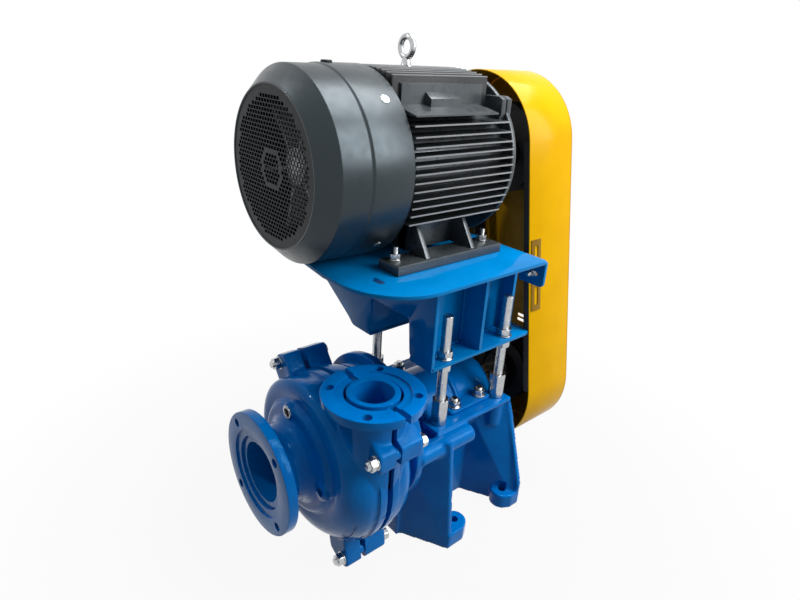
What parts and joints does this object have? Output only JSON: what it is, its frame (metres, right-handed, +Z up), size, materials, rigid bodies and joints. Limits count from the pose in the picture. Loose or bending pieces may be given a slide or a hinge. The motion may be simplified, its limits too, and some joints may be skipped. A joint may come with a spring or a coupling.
{
  "type": "slurry pump",
  "caption": "Centrifugal slurry pump with split casing, overhead electric motor on a stand, V belt drive under a long sheet guard.",
  "frame": {"origin": "centre of the bounding box at floor level", "axes": "+Z up; the pump shaft runs along +Y from the suction flange to the belt drive; the discharge flange faces up on the +X side"},
  "size_m": [0.5838, 0.7826, 1.056],
  "materials": {
    "blue": "glossy blue enamel on castings and plate",
    "liner": "hard cast liner metal with blue overspray",
    "packing": "woven packing rope",
    "steel": "machined steel",
    "zinc": "zinc plated fasteners",
    "motor": "satin dark grey paint",
    "cowl": "semi gloss dark grey paint on pressed sheet",
    "copper": "varnished winding",
    "rubber": "matt belt rubber",
    "yellow": "glossy yellow enamel on sheet",
    "black": "dark cast iron"
  },
  "bodies": {
    "base": {"base_frame": "blue", "bearing_housing": "blue", "cover_plate": "blue", "frame_plate": "blue", "motor_stand": "blue", "housing_cover_front": "blue", "housing_cover_rear": "blue", "volute_liner": "liner", "throat_bush": "liner", "frame_plate_insert": "liner", "stuffing_box": "liner", "gland": "liner", "gland_packing": "packing", "pump_bearing_front": "steel", "pump_bearing_rear": "steel", "motor_bearing_rear": "steel", "motor_bearing_front": "steel", "casing_bolt_1": "zinc", "casing_bolt_2": "zinc", "casing_bolt_3": "zinc", "casing_bolt_4": "zinc", "housing_clamp_bolt_1": "zinc", "housing_clamp_bolt_2": "zinc", "housing_clamp_bolt_3": "zinc", "housing_clamp_bolt_4": "zinc", "standoff_1": "zinc", "standoff_2": "zinc", "standoff_3": "zinc", "standoff_4": "zinc", "height_stud_1": "zinc", "height_stud_2": "zinc", "height_stud_3": "zinc", "height_stud_4": "zinc", "motor_foot_bolt_1": "zinc", "motor_foot_bolt_2": "zinc", "motor_foot_bolt_3": "zinc", "motor_foot_bolt_4": "zinc", "eye_bolt": "zinc", "motor_frame": "motor", "drive_end_shield": "motor", "fan_end_shield": "motor", "terminal_box": "motor", "terminal_lid": "motor", "fan_cowl": "cowl", "stator": "copper", "belt_1": "rubber", "belt_2": "rubber", "belt_3": "rubber", "belt_guard": "yellow", "guard_bracket": "yellow"},
    "pump_rotor": {"pump_shaft": "steel", "impeller": "steel", "shaft_sleeve": "steel", "pump_pulley": "black"},
    "motor_rotor": {"motor_shaft": "steel", "rotor_core": "steel", "cooling_fan": "black", "motor_pulley": "black"}
  },
  "joints": [
    {"name": "motor_spin", "type": "hinge", "parent": "base", "child": "motor_rotor", "pos_m": [-0.02494, 0.3267, 0.821], "axis": [0, 1, 0], "continuous": true},
    {"name": "pump_spin", "type": "hinge", "parent": "base", "child": "pump_rotor", "pos_m": [0.06236, 0.3267, 0.254], "axis": [0, 1, 0], "continuous": true}
  ],
  "couplings": [
    {"joint": "pump_spin", "follows": "motor_spin", "ratio": 1.2264}
  ]
}
